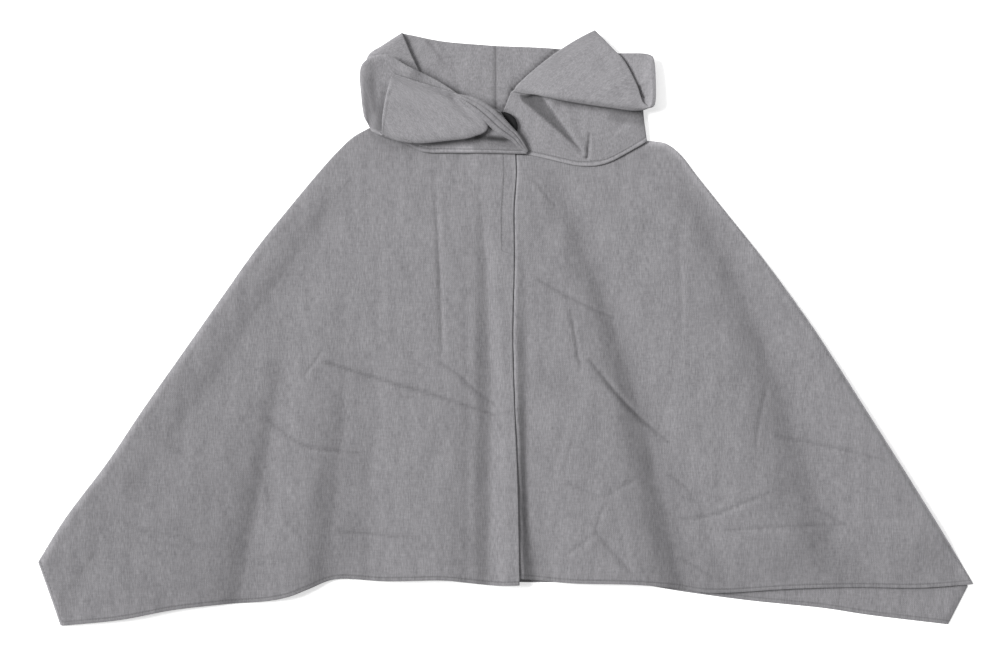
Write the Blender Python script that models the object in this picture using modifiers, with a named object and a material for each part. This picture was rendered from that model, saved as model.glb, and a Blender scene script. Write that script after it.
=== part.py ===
"""Hip-length poncho in grey wool cloth with a wide funnel collar, buttoned at the neck and laid out flat on its back."""

from math import cos, pi, radians, sin

import bmesh
import bpy
import numpy as np
from mathutils import Vector

# Plan positions are in layout units, x to the right and y down the garment, on a sheet whose
# centre is the centre of the footprint. Heights and thicknesses are in millimetres.
UNIT = 0.0012
CENTRE_X = 505.65
CENTRE_Y = 328.2
MM = 0.001

CLOTH = 1.8
COLLAR_CLOTH = 2.0
SEAM_GAP = 0.3
BUTTON_DIAMETER = 36.0
BUTTON_THICKNESS = 4.0
BUTTON_AT = (503.5, 126.5)
BUTTON_Z = 10.0
BUTTON_TILT = (1.0, -2.6)

BACK_Z = CLOTH / 2
FRONT_Z = BACK_Z + CLOTH + SEAM_GAP + 0.1
LAP_Z = FRONT_Z + CLOTH + SEAM_GAP + 0.2
LAP_FROM = 466.0
LAP_FULL = 478.0

# How high the cloth stands off the layer below between its valleys, by how far down the panel it is.
PUFF_AT = (0.0, 0.04, 0.14, 0.3, 0.6, 1.0)
PUFF = (0.2, 0.5, 3.4, 8.0, 11.5, 12.5)
ROLL = 9.0
ROLL_START = 1.3

# Slanted shoulder folds of the garment, from the neck to the low corner: x, y.
RIGHT_SHOULDER = (
    (369.6, 128.6), (353.6, 137.6), (337.5, 152.7), (321.4, 170.4), (289.3, 208.9), (257.0, 249.0),
    (225.0, 294.0), (195.5, 336.0), (141.4, 413.0), (109.3, 461.0), (65.0, 520.0), (39.0, 562.0),
)
LEFT_SHOULDER = (
    (646.6, 141.4), (664.7, 143.7), (679.2, 154.3), (696.9, 176.8), (729.0, 217.0), (761.2, 257.2),
    (793.3, 300.5), (818.0, 336.0), (867.3, 413.0), (909.0, 479.0), (947.6, 541.7), (972.3, 583.5),
)
RIGHT_END = ((39.0, 562.0), (51.0, 595.5), (61.2, 625.0))
RIGHT_HEM = (
    (519.0, 584.2), (495.0, 584.5), (469.3, 581.9), (443.6, 579.3), (385.7, 580.3), (334.3, 578.7),
    (308.6, 588.3), (289.3, 595.7), (266.8, 600.2), (225.0, 603.4), (173.6, 609.0), (122.0, 618.6),
    (61.2, 625.0),
)
LEFT_HEM = (
    (474.0, 576.0), (520.0, 577.7), (568.0, 582.0), (632.6, 583.5), (671.0, 586.7), (709.7, 592.0),
    (793.0, 588.0), (857.6, 586.6), (922.0, 587.0), (972.3, 583.5),
)
RIGHT_NECK = (
    (515.0, 154.6), (498.0, 152.6), (464.8, 152.2), (441.8, 153.2), (424.6, 152.0), (417.7, 146.0),
    (400.0, 140.5), (384.0, 136.0), (369.6, 128.6),
)
LEFT_NECK = (
    (474.0, 153.2), (510.7, 154.6), (527.4, 156.0), (545.0, 157.0), (560.0, 160.0), (583.0, 165.0),
    (600.0, 165.0), (610.0, 160.0), (630.0, 150.0), (646.6, 141.4),
)
PLACKET = (
    (515.0, 154.6), (515.6, 174.0), (513.3, 209.0), (513.6, 260.0), (512.0, 336.0), (513.6, 400.0),
    (517.0, 481.0), (519.0, 584.2),
)
UNDERLAP = ((474.0, 153.2), (473.0, 260.0), (473.0, 400.0), (474.0, 576.0))

BACK_NECK = ((376.0, 134.5), (432.0, 129.0), (497.0, 128.0), (570.0, 131.0), (632.0, 138.4), (641.0, 145.5), (656.0, 150.5))
BACK_HEM = (
    (64.0, 621.5), (160.0, 609.5), (225.0, 600.0), (290.0, 591.0), (334.0, 577.0), (440.0, 577.0),
    (520.0, 581.5), (560.0, 581.5), (632.0, 583.0), (684.0, 591.0), (748.0, 599.6), (825.4, 607.6),
    (867.0, 614.0), (947.6, 623.7),
)
BACK_INSET = 6.0

# Broad valleys between the soft folds of each front: the line along the bottom, the depth as a share of
# the cloth's rise, and the reach to the left and right of the line, each at the top and at the hem.
VALLEYS = {
    "front_right": (
        # x0, y0, x1, y1, x2, y2, depth top, depth hem, left top, left hem, right top, right hem
        (335, 200, 238, 345, 100, 545, 0.55, 0.15, 13.0, 22.0, 26.0, 60.0),
        (292, 290, 270, 440, 238, 606, 0.0, 0.95, 12.0, 18.0, 12.0, 16.0),
        (290, 330, 268, 440, 236, 606, 0.0, 0.6, 24.0, 120.0, 10.0, 10.0),
        (366, 280, 364, 448, 350, 590, 0.0, 1.0, 18.0, 40.0, 20.0, 44.0),
        (478, 165, 489, 336, 488, 584, 0.75, 0.85, 13.0, 26.0, 5.0, 8.0),
        (433, 154, 439, 250, 443, 355, 0.45, 0.1, 3.2, 3.2, 3.2, 3.2),
    ),
    "front_left": (
        (521, 200, 524, 450, 531, 584, 0.1, 1.0, 8.0, 13.0, 10.0, 22.0),
        (547, 180, 614, 340, 678, 586, 1.0, 1.0, 12.0, 22.0, 9.0, 26.0),
        (690, 185, 768, 340, 872, 590, 0.7, 0.7, 14.0, 34.0, 14.0, 50.0),
        (660, 430, 700, 500, 724, 592, 0.0, 0.3, 12.0, 14.0, 12.0, 14.0),
    ),
}
VALLEY_POWER = 1.7

# Part of the left front's hem lies down on the back panel.
SETTLED = 0.6
SETTLED_FROM = 690.0
SETTLED_RUN = 60.0
SETTLED_WIDE = 26.0

# One half of the collar as it lies, from the centre back round to its front edge: the seam, the top
# of the stand, the fold of the overhang and the hem in plan, then the heights of each layer.
LEFT_COLLAR = (
    # seam x, y, roll x, y, fold x, y, hem x, y, z seam, z stand, z middle, z flap, z hem
    (496.0, 127.6, 496.0, 96.0, 496.0, 80.0, 496.0, 46.6, 1.0, 1.0, 1.0, 1.0, 1.0),
    (545.0, 129.0, 545.0, 98.0, 545.0, 82.0, 545.0, 48.6, 1.0, 1.0, 1.0, 1.0, 1.0),
    (600.0, 132.4, 602.0, 102.0, 604.0, 86.0, 608.0, 54.0, 1.0, 1.0, 1.2, 1.5, 2.0),
    (632.0, 136.6, 634.0, 104.0, 638.0, 88.0, 646.0, 55.6, 1.0, 1.8, 2.4, 3.6, 5.5),
    (639.5, 137.6, 640.0, 100.0, 644.5, 86.0, 653.2, 63.0, 2.0, 3.4, 6.0, 10.0, 15.0),
    (643.5, 139.2, 642.0, 100.5, 648.5, 96.0, 654.6, 85.0, 3.8, 5.6, 9.4, 14.0, 17.5),
    (645.5, 141.6, 637.5, 96.0, 646.5, 107.5, 653.5, 105.5, 5.8, 7.6, 12.2, 17.0, 18.0),
    (632.0, 149.8, 622.0, 88.0, 636.0, 110.8, 643.6, 104.8, 6.1, 8.6, 13.0, 17.5, 18.5),
    (606.0, 163.0, 600.0, 83.0, 611.0, 107.2, 636.0, 85.5, 6.2, 9.0, 13.2, 17.5, 18.0),
    (580.0, 165.4, 574.0, 83.0, 578.0, 101.5, 624.0, 62.5, 6.2, 9.0, 13.2, 17.5, 17.5),
    (548.0, 158.6, 548.0, 86.0, 552.0, 98.5, 613.0, 50.5, 6.2, 8.8, 12.8, 17.0, 17.0),
    (525.0, 154.0, 525.0, 96.0, 530.0, 94.5, 603.0, 40.0, 5.2, 7.4, 11.0, 14.8, 16.5),
    (480.0, 150.0, 507.0, 103.0, 515.6, 92.0, 594.5, 31.5, 3.8, 5.6, 8.8, 12.2, 15.5),
)

# Front of the other half, from the side of the neck round to its front edge, in the same columns.
RIGHT_COLLAR = (
    (375.0, 133.0, 364.0, 117.0, 371.5, 130.5, 377.0, 127.5, 6.0, 8.5, 13.0, 17.0, 17.0),
    (383.0, 136.6, 360.5, 100.0, 377.5, 133.5, 380.5, 130.0, 6.0, 10.5, 15.0, 20.0, 20.5),
    (392.0, 139.0, 361.0, 66.0, 385.0, 136.5, 382.5, 131.0, 6.0, 11.5, 16.5, 22.0, 23.0),
    (405.0, 143.0, 384.0, 56.5, 396.0, 140.5, 383.4, 121.0, 6.0, 11.5, 17.0, 22.5, 25.0),
    (424.0, 151.6, 408.0, 68.0, 418.0, 143.6, 386.0, 103.0, 6.1, 11.8, 17.5, 23.0, 26.5),
    (452.0, 152.6, 438.0, 82.5, 447.0, 141.0, 389.5, 89.0, 6.2, 12.0, 17.5, 23.0, 27.5),
    (480.0, 152.8, 463.0, 99.0, 472.0, 137.5, 392.0, 80.0, 8.2, 14.5, 19.0, 23.5, 28.0),
    (500.0, 153.2, 478.0, 108.0, 487.0, 129.5, 393.0, 78.0, 8.2, 16.5, 20.0, 24.0, 28.0),
    (513.0, 153.6, 489.0, 113.0, 483.0, 116.0, 393.4, 76.8, 8.2, 17.0, 20.2, 23.5, 28.0),
    (527.0, 153.8, 500.0, 113.0, 484.0, 103.8, 393.6, 76.0, 8.4, 17.0, 19.8, 23.0, 27.5),
)

# Back of the same half with the corner that folds forward at the shoulder: rows from the neck seam up
# to the hem, each running from the centre back to the side, round the fold and forward again.
RIGHT_COLLAR_BACK = (
    # centre x, y, quarter x, y, side x, y, fold x, y, over x, y, end x, y, z low, z high
    (495.6, 127.6, 436.0, 127.6, 388.0, 127.0, 370.5, 112.0, 373.5, 107.0, 377.0, 104.0, 1.0, 6.4),
    (495.6, 108.0, 436.0, 106.0, 380.0, 98.0, 366.0, 80.0, 371.0, 82.0, 380.0, 92.0, 1.0, 7.2),
    (495.6, 88.0, 437.0, 84.0, 384.0, 68.0, 368.5, 57.0, 380.0, 70.0, 394.0, 86.0, 1.3, 7.8),
    (495.6, 67.0, 440.0, 62.5, 399.0, 51.0, 383.5, 45.8, 396.0, 62.0, 409.0, 82.0, 1.3, 8.0),
    (495.6, 46.6, 444.0, 42.2, 414.0, 36.4, 401.7, 34.0, 409.0, 51.0, 420.0, 75.0, 1.0, 7.0),
)

# Swell along the rolled rim where a half turns over: the rim's line, its height, its half width and the
# share of the way up the cloth where it ends.
COLLAR_RIMS = {
    "collar_right": (((373, 132), (364, 117), (360.5, 100), (361, 66), (370, 57), (386, 57), (410, 69)), 6.0, 14.0, 0.6),
    "collar_left": (((656, 62), (657, 85), (655, 104)), 3.0, 10.0, 1.0),
}

# Creases dented into the front of the collar: the line in plan, depth, half width, and the shares of the
# way up the cloth between which it marks.
COLLAR_CREASES = {
    "collar_left": ((533, 100, 582, 151, 2.8, 7.0, 0.04, 0.26), (589, 136, 587, 157, 1.4, 2.4, 0.02, 0.25)),
    "collar_right": ((458, 106, 524, 149, 1.2, 3.0, 0.0, 1.0),),
}

RIB_STEPS = (5, 5, 2, 2, 3, 2, 2, 4, 3)
SETBACK = 3.4

GREY = (0.30, 0.30, 0.305, 1.0)
BLACK = (0.012, 0.012, 0.013, 1.0)


def place(points):
    """Layout x, y and millimetre z turned into metres."""
    points = np.asarray(points, float)
    out = np.empty_like(points)
    out[..., 0] = (points[..., 0] - CENTRE_X) * UNIT
    out[..., 1] = (CENTRE_Y - points[..., 1]) * UNIT
    out[..., 2] = points[..., 2] * MM
    return out


def smooth(knots, counts):
    """A curve through the knots along axis 0, with counts[i] steps on the span after knot i."""
    knots = np.asarray(knots, float)
    flat = knots.reshape(len(knots), -1)
    gaps = np.linalg.norm(np.diff(knots, axis=0).reshape(len(knots) - 1, -1), axis=1)
    gaps = np.sqrt(np.maximum(gaps, 1e-6))
    slopes = np.diff(flat, axis=0) / gaps[:, None]
    tangents = np.empty_like(flat)
    tangents[0] = slopes[0]
    tangents[-1] = slopes[-1]
    weight = (gaps[:-1] / (gaps[:-1] + gaps[1:]))[:, None]
    tangents[1:-1] = slopes[:-1] * (1 - weight) + slopes[1:] * weight
    out = []
    for i, count in enumerate(counts):
        for k in range(count):
            t = k / count
            out.append(
                (2 * t**3 - 3 * t**2 + 1) * flat[i]
                + (t**3 - 2 * t**2 + t) * gaps[i] * tangents[i]
                + (3 * t**2 - 2 * t**3) * flat[i + 1]
                + (t**3 - t**2) * gaps[i] * tangents[i + 1]
            )
    out.append(flat[-1])
    return np.array(out).reshape((-1,) + knots.shape[1:])


def along(line, shares):
    """Points at the given shares of a line's length."""
    line = np.asarray(line, float)
    lengths = np.concatenate([[0], np.cumsum(np.linalg.norm(np.diff(line, axis=0), axis=1))])
    return np.stack([np.interp(np.asarray(shares) * lengths[-1], lengths, line[:, k]) for k in (0, 1)], axis=-1)


def corner_share(line, index):
    """How far along a line its point of that index lies, as a share of its length."""
    lengths = np.linalg.norm(np.diff(np.asarray(line, float), axis=0), axis=1)
    return lengths[:index].sum() / lengths.sum()


def patch(top, bottom, start, end, columns, rows, corner=1.0, rows_after=0):
    """A grid of plan points that meets four border lines, with a row on a corner of the end line."""
    u = np.linspace(0, 1, columns + 1)
    v = np.linspace(0, corner, rows + 1)
    v = np.concatenate([v, np.linspace(corner, 1, rows_after + 1)[1:]])
    t, b, s, e = along(top, u), along(bottom, u), along(start, v), along(end, v)
    uu, vv = u[None, :, None], v[:, None, None]
    grid = (1 - vv) * t[None] + vv * b[None] + (1 - uu) * s[:, None] + uu * e[:, None]
    corners = (1 - uu) * (1 - vv) * t[0] + uu * (1 - vv) * t[-1] + (1 - uu) * vv * b[0] + uu * vv * b[-1]
    return grid - corners


def distance_to(line, xy):
    """Shortest plan distance from each point to a line, in millimetres."""
    line = np.asarray(line, float)
    best = np.full(xy.shape[:-1], 1e9)
    for a, b in zip(line[:-1], line[1:]):
        span = b - a
        share = np.clip(((xy - a) @ span) / (span @ span), 0, 1)
        best = np.minimum(best, np.linalg.norm(xy - (a + share[..., None] * span), axis=-1))
    return best * UNIT / MM


def side_of(line, xy):
    """-1 for points on the left of a line that runs down the garment, 1 for those on its right."""
    return np.where(xy[..., 0] < np.interp(xy[..., 1], line[:, 1], line[:, 0]), -1.0, 1.0)


def ease(value):
    value = np.clip(value, 0, 1)
    return value * value * (3 - 2 * value)


def kept(name, xy):
    """Share of the cloth's full rise that the broad valleys leave."""
    keep = np.ones(xy.shape[:-1])
    for x0, y0, x1, y1, x2, y2, deep0, deep1, left0, left1, right0, right1 in VALLEYS[name]:
        line = smooth([(x0, y0), (x1, y1), (x2, y2)], (6, 6))
        share = np.clip((xy[..., 1] - y0) / (y2 - y0), 0, 1)
        left = left0 + (left1 - left0) * share
        right = right0 + (right1 - right0) * share
        reach = np.where(side_of(line, xy) < 0, left, right)
        depth = deep0 + (deep1 - deep0) * share
        keep = keep * (1 - depth * np.exp(-((distance_to(line, xy) / reach) ** VALLEY_POWER)))
    return keep


def front_height(name, xy, shoulder, hem):
    """Height of a front's middle surface: puffed cloth with valleys, rolling down at the shoulder fold."""
    down = np.clip((xy[..., 1] - 150.0) / 430.0, 0, 1)
    rise = np.interp(down, PUFF_AT, PUFF) * kept(name, xy)
    settled = ease((xy[..., 0] - SETTLED_FROM) / SETTLED_RUN) * (1 - ease(distance_to(hem, xy) / SETTLED_WIDE))
    rise = rise * (1 - SETTLED * settled)
    edge = distance_to(shoulder, xy)
    roll = np.sqrt(1 - (1 - np.clip(edge / ROLL, 0, 1)) ** 2)
    low_corner = ease(np.linalg.norm(xy - np.array(shoulder[-1]), axis=-1) / 75.0)
    height = FRONT_Z + rise * (0.35 + 0.65 * low_corner)
    return ROLL_START + (height - ROLL_START) * roll


def wall(name, middle, thickness, material):
    """A closed cloth wall on a grid of middle points, made from a Blender grid and a Solidify."""
    rows, columns = middle.shape[0] - 1, middle.shape[1] - 1
    mesh = bpy.data.meshes.new(name)
    bm = bmesh.new()
    bmesh.ops.create_grid(bm, x_segments=columns, y_segments=rows, size=1.0)
    order = sorted(bm.verts, key=lambda v: (-round(v.co.y, 5), round(v.co.x, 5)))
    points = place(middle).reshape(-1, 3)
    for vert, point in zip(order, points):
        vert.co = Vector(point)
    bmesh.ops.recalc_face_normals(bm, faces=bm.faces)
    bm.to_mesh(mesh)
    bm.free()
    mesh.materials.append(material)
    obj = bpy.data.objects.new(name, mesh)
    garment.objects.link(obj)
    solid = obj.modifiers.new("cloth thickness", "SOLIDIFY")
    solid.thickness = thickness * MM
    solid.offset = 0.0
    solid.use_rim = True
    for face in mesh.polygons:
        face.use_smooth = True
    return obj


def toward(a, b, step):
    """The point a step from a on the way to b, short of the middle."""
    gap = b - a
    length = max(float(np.linalg.norm(gap)), 1e-6)
    return a + gap / length * min(step, 0.42 * length)


def side_fold(row):
    """One line across the collar's back, from the centre round the side fold and forward again."""
    *plan, low, high = row
    centre, quarter, side, fold, over, end = (np.array(p) for p in zip(plan[::2], plan[1::2]))
    points = (centre, quarter, side, toward(fold, side, SETBACK), fold, toward(fold, over, SETBACK), over, end)
    heights = (1.0, 1.0, low, low + 0.2, (low + high) / 2, high - 0.2, high, high)
    return [(p[0], p[1], z) for p, z in zip(points, heights)]


def rib(row):
    """One line up the collar from its seam to its hem, through the pleat that folds it."""
    sx, sy, rx, ry, fx, fy, hx, hy, z_seam, z_stand, z_middle, z_flap, z_hem = row
    seam, roll, fold, hem = (np.array(p) for p in ((sx, sy), (rx, ry), (fx, fy), (hx, hy)))

    plan = (
        seam, seam + (roll - seam) / 3, toward(roll, seam, SETBACK), roll, toward(roll, fold, SETBACK),
        toward(fold, roll, SETBACK), fold, toward(fold, hem, SETBACK), (fold + hem) / 2, hem,
    )
    ramp = 0.12 * (z_flap - z_stand)
    heights = (
        z_seam, z_seam + 0.8 * (z_stand - z_seam), z_stand, (z_stand + z_middle) / 2,
        z_middle - ramp, z_middle + ramp, (z_middle + z_flap) / 2, z_flap, (z_flap + z_hem) / 2, z_hem,
    )
    return [(p[0], p[1], z) for p, z in zip(plan, heights)]


def collar_sheet(name, table, steps):
    """Grid of a collar half's middle surface, ribs joined by smooth lines round the neck."""
    ribs = np.array([smooth(rib(row), RIB_STEPS) for row in table])
    sheet = smooth(ribs, steps)
    rows_up = np.linspace(0, 1, sheet.shape[1])
    rim, height, width, until = COLLAR_RIMS[name]
    swell = height * np.exp(-((distance_to(rim, sheet[..., :2]) / width) ** 2))
    sheet[..., 2] += swell * ease((until - rows_up) / 0.1)[None, :] * ease((sheet[..., 2] - 4.0) / 8.0)
    for x0, y0, x1, y1, depth, width, low, high in COLLAR_CREASES[name]:
        apart = distance_to([(x0, y0), (x1, y1)], sheet[..., :2])
        inside = ease((rows_up - low) / 0.05) * ease((high - rows_up) / 0.05) if high < 1 else np.ones(rows_up.shape)
        front = ease((np.arange(sheet.shape[0]) / (sheet.shape[0] - 1) - 0.6) / 0.1)
        sheet[..., 2] -= depth * np.exp(-((apart / width) ** 2)) * inside[None, :] * front[:, None]
    sheet[..., 2] = np.maximum(sheet[..., 2], COLLAR_CLOTH / 2)
    return sheet


def shade(name, colour, roughness, metallic):
    material = bpy.data.materials.new(name)
    material.use_nodes = True
    node = material.node_tree.nodes["Principled BSDF"]
    node.inputs["Base Color"].default_value = colour
    node.inputs["Roughness"].default_value = roughness
    node.inputs["Metallic"].default_value = metallic
    material.diffuse_color = colour
    return material


def inset(line, gap, side):
    """The line moved sideways by a gap, to the left of its run where side is 1."""
    line = np.asarray(line, float)
    run = np.gradient(line, axis=0)
    run /= np.linalg.norm(run, axis=1)[:, None]
    return line + side * gap * np.stack([run[:, 1], -run[:, 0]], axis=1)


def make_back():
    shares = np.linspace(0, 1, 24) ** 1.4
    right = inset(along(RIGHT_SHOULDER, shares), BACK_INSET, 1)
    left = inset(along(LEFT_SHOULDER, shares), BACK_INSET, -1)
    right = [BACK_NECK[0]] + list(map(tuple, right[1:-1])) + [(47.0, 564.0), BACK_HEM[0]]
    left = [BACK_NECK[-1]] + [tuple(p) for p in left[1:-1] if p[0] > BACK_NECK[-1][0] + 6] + [(967.0, 586.0), BACK_HEM[-1]]
    hem = [right[-1]] + list(BACK_HEM[1:])
    corner = corner_share(left, len(left) - 2)
    plan = patch(BACK_NECK, hem, right, left, 20, 12, corner, 1)
    middle = np.concatenate([plan, np.full(plan.shape[:2] + (1,), BACK_Z)], axis=-1)
    return wall("back_panel", middle, CLOTH, shade("back cloth", GREY, 0.95, 0.0))


def make_front_right():
    side = list(RIGHT_SHOULDER) + list(RIGHT_END[1:])
    corner = corner_share(side, len(RIGHT_SHOULDER) - 1)
    plan = patch(RIGHT_NECK, RIGHT_HEM, PLACKET, side, 36, 22, corner, 3)
    z = front_height("front_right", plan, side, RIGHT_HEM)
    lift = ease((plan[..., 0] - LAP_FROM) / (LAP_FULL - LAP_FROM))
    z = z + (LAP_Z - FRONT_Z) * lift
    middle = np.concatenate([plan, z[..., None]], axis=-1)
    return wall("front_right", middle, CLOTH, shade("right front cloth", GREY, 0.95, 0.0))


def make_front_left():
    plan = patch(LEFT_NECK, LEFT_HEM, UNDERLAP, LEFT_SHOULDER, 36, 25)
    z = front_height("front_left", plan, LEFT_SHOULDER, LEFT_HEM)
    under = ease((plan[..., 0] - 517.0) / 10.0)
    z = FRONT_Z + (z - FRONT_Z) * under
    middle = np.concatenate([plan, z[..., None]], axis=-1)
    return wall("front_left", middle, CLOTH, shade("left front cloth", GREY, 0.95, 0.0))


def make_collar():
    left = collar_sheet("collar_left", LEFT_COLLAR, (3, 3, 2, 3, 3, 3, 4, 3, 3, 3, 3, 4))
    wall("collar_left", left, COLLAR_CLOTH, shade("left collar cloth", GREY, 0.95, 0.0))
    front = collar_sheet("collar_right", RIGHT_COLLAR, (3, 3, 3, 3, 3, 3, 3, 2, 2))
    wall("collar_right_front", front, COLLAR_CLOTH, shade("right collar cloth", GREY, 0.95, 0.0))
    rows = smooth(np.array([side_fold(row) for row in RIGHT_COLLAR_BACK]), (3, 3, 3, 3))
    back = smooth(rows.transpose(1, 0, 2), (2, 3, 3, 2, 2, 3, 3))
    back[..., 2] = np.maximum(back[..., 2], COLLAR_CLOTH / 2)
    wall("collar_right_back", back, COLLAR_CLOTH, shade("right collar back cloth", GREY, 0.95, 0.0))


def make_button():
    radius, half = BUTTON_DIAMETER / 2, BUTTON_THICKNESS / 2
    profile = [(0.0, -half), (radius - 1.6, -half)]
    profile += [(radius - 1.6 + 1.6 * cos(a), half * sin(a)) for a in (-pi / 4, 0.0, pi / 4)]
    profile += [(radius - 3.0, half), (radius - 5.0, half - 1.0), (0.0, half - 1.0)]
    mesh = bpy.data.meshes.new("button")
    bm = bmesh.new()
    verts = [bm.verts.new((x * MM, 0.0, z * MM)) for x, z in profile]
    for a, b in zip(verts[:-1], verts[1:]):
        bm.edges.new((a, b))
    bm.to_mesh(mesh)
    bm.free()
    mesh.materials.append(shade("black button", BLACK, 0.3, 0.0))
    obj = bpy.data.objects.new("button", mesh)
    garment.objects.link(obj)
    turn = obj.modifiers.new("turned", "SCREW")
    turn.axis = "Z"
    turn.steps = 28
    turn.render_steps = 28
    turn.use_merge_vertices = True
    turn.merge_threshold = 0.0001
    turn.use_normal_calculate = True
    obj.location = Vector(place((BUTTON_AT[0], BUTTON_AT[1], BUTTON_Z)))
    obj.rotation_euler = (radians(BUTTON_TILT[0]), radians(BUTTON_TILT[1]), 0.0)
    return obj


for old in list(bpy.data.objects):
    bpy.data.objects.remove(old, do_unlink=True)
garment = bpy.data.collections.new("poncho")
bpy.context.scene.collection.children.link(garment)

make_back()
make_front_right()
make_front_left()
make_collar()
make_button()
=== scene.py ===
from math import cos, pi, radians, sin

import bmesh
import bpy
import numpy as np
from mathutils import Euler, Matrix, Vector
from mathutils.bvhtree import BVHTree


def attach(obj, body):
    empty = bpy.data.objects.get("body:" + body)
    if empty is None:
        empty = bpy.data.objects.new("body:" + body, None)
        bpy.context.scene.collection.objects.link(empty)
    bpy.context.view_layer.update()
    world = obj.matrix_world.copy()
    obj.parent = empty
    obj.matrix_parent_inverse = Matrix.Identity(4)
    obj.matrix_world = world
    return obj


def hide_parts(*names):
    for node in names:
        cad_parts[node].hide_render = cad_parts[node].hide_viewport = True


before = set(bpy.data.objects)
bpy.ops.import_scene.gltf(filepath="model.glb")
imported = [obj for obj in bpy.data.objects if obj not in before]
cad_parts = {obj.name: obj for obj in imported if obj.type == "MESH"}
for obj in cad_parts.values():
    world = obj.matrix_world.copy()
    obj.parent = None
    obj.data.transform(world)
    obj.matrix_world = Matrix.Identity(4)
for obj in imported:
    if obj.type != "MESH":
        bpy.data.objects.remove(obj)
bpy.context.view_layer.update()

# Plan positions are in layout units, x to the right and y down the garment.
# One layout unit and one millimetre, in metres.
UNIT = 0.0012
MM = 0.001
# In layout units: the plan's middle and the picture.
CENTRE_X = 505.65
CENTRE_Y = 328.2
PICTURE_WIDTH = 1008.0
PICTURE_HEIGHT = 672.0
# The camera's height in metres and its sensor in millimetres.
CAMERA_HEIGHT = 4.5
SENSOR = 36.0

# In millimetres: cloth and button, levels, the rounding of edges, and stitches.
CLOTH = 1.8
COLLAR_CLOTH = 2.0
BAND_CLOTH = 1.4
SEAM_GAP = 0.3
BUTTON_DIAMETER = 36.0
BUTTON_THICKNESS = 4.0
BUTTON_RIM = 1.6
# The moulded face: how far in from the rim each step is and how deep, and the depth of the middle.
BUTTON_FACE = ((4.0, 0.0), (5.0, 0.15), (7.0, 0.5))
BUTTON_DISH = 0.6
BUTTON_Z = 10.0
BACK_Z = CLOTH / 2
FRONT_Z = BACK_Z + CLOTH + SEAM_GAP + 0.1
LAP_Z = FRONT_Z + CLOTH + SEAM_GAP + 0.2
LAP_SWELL = 1.6
# Past the lap's edge, where the swell beside it begins and over how far it grows, and the same for its end.
LAP_RISE = (1.0, 2.2)
LAP_FALL = (4.0, 46.0)
ROLL = 7.5
ROLL_START = 1.3
PLACKET_STITCH = 14.0
HEM_STITCH = 3.8
SEAM_STITCH = 4.0
STITCH_PITCH = 4.0
STITCH_LENGTH = 3.0
STITCH_RADIUS = 0.32
STITCH_STEP = 1.5
# A distance far from every stitch line.
NO_LINE = 99.0
# The seam's welt: its place up the cloth, half width and height.
WELT = (1.6, 1.3, 0.8)

# In layout units: the button's place, the lap's start and full height, where it is fullest and where its
# stitches end, the back's inset, the setback of a fold's turns and the bow of the left flap.
BUTTON_AT = (503.5, 126.5)
BUTTON_SHIFT = (-0.8, 1.0)
LAP_FROM = 466.0
LAP_FULL = 478.0
LAP_FULLEST = 350.0
LAP_STITCH_END = 250.0
# Where the left front takes its own form, and over how far.
OWN_FORM = (514.0, 14.0)
BACK_INSET = 6.0
SETBACK = 3.4
# Where the painted shade in the valleys begins below the neck, and over how far.
PAINTED_SHADE_FROM = (160.0, 60.0)
FLAP_BOW = (-2.6, -4.3)

# The cloth's rise in millimetres at shares of the way down the garment, which begins at one plan y and
# runs over the given length.
PUFF_DOWN = (150.0, 430.0)
PUFF_AT = (0.0, 0.04, 0.14, 0.3, 0.6, 1.0)
PUFF = (0.2, 0.5, 3.4, 8.0, 11.5, 12.5)
# Uneven swelling: the seed, the waves' pitch in layout units and their height in millimetres.
RIPPLE = (11, 42.0, 0.28)

# Shares, strengths of painted light and shade, a count, and the button's tilt in degrees. The painted seam
# light's width is in millimetres.
LAP_FULLER = 0.35
FLAP_FROM = 0.66
FLAP_PAINTED_LIGHT = 0.07
CREASE_PAINTED_SHADE = 0.15
CREASE_GAIN = 1.5
VALLEY_PAINTED_SHADE = 0.17
PAINTED_SEAM_LIGHT = (0.4, 1.6)
# The share of a collar sheet over which a painted shade fades at its ends.
MARGIN = 0.03
STITCH_SIDES = 5
BUTTON_TILT = (1.0, -2.6)

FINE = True
FRONT_GRID = (216, 196, 20) if FINE else (60, 60, 6)
BACK_GRID = (110, 90, 8) if FINE else (40, 30, 3)
RIB_FINE = 5 if FINE else 2
ROUND_FINE = 6 if FINE else 2

RIGHT_SHOULDER = (
    (369.6, 128.6), (353.6, 137.6), (337.5, 152.7), (321.4, 170.4), (289.3, 208.9), (257, 249),
    (225, 294), (195.5, 336), (141.4, 413), (109.3, 461), (65, 520), (39, 562),
)
LEFT_SHOULDER = (
    (646.6, 141.4), (664.7, 143.7), (679.2, 154.3), (696.9, 176.8), (729, 217), (761.2, 257.2),
    (793.3, 300.5), (818, 336), (867.3, 413), (909, 479), (947.6, 541.7), (972.3, 583.5),
)
RIGHT_END = ((39, 562), (51, 595.5), (61.2, 625))
RIGHT_HEM = (
    (519, 584.2), (495, 584.5), (469.3, 581.9), (443.6, 579.3), (385.7, 580.3), (334.3, 578.7),
    (308.6, 588.3), (289.3, 595.7), (266.8, 600.2), (225, 603.4), (173.6, 609), (122, 618.6),
    (61.2, 625),
)
LEFT_HEM = (
    (474, 576), (520, 577.7), (568, 582), (632.6, 583.5), (671, 586.7), (709.7, 592),
    (793, 588), (857.6, 586.6), (922, 587), (972.3, 583.5),
)
RIGHT_NECK = (
    (515, 154.6), (498, 152.6), (464.8, 152.2), (441.8, 153.2), (424.6, 152), (417.7, 146),
    (400, 140.5), (384, 136), (369.6, 128.6),
)
LEFT_NECK = (
    (474, 153.2), (510.7, 154.6), (527.4, 156), (545, 157), (560, 160), (583, 165),
    (600, 165), (610, 160), (630, 150), (646.6, 141.4),
)
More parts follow.
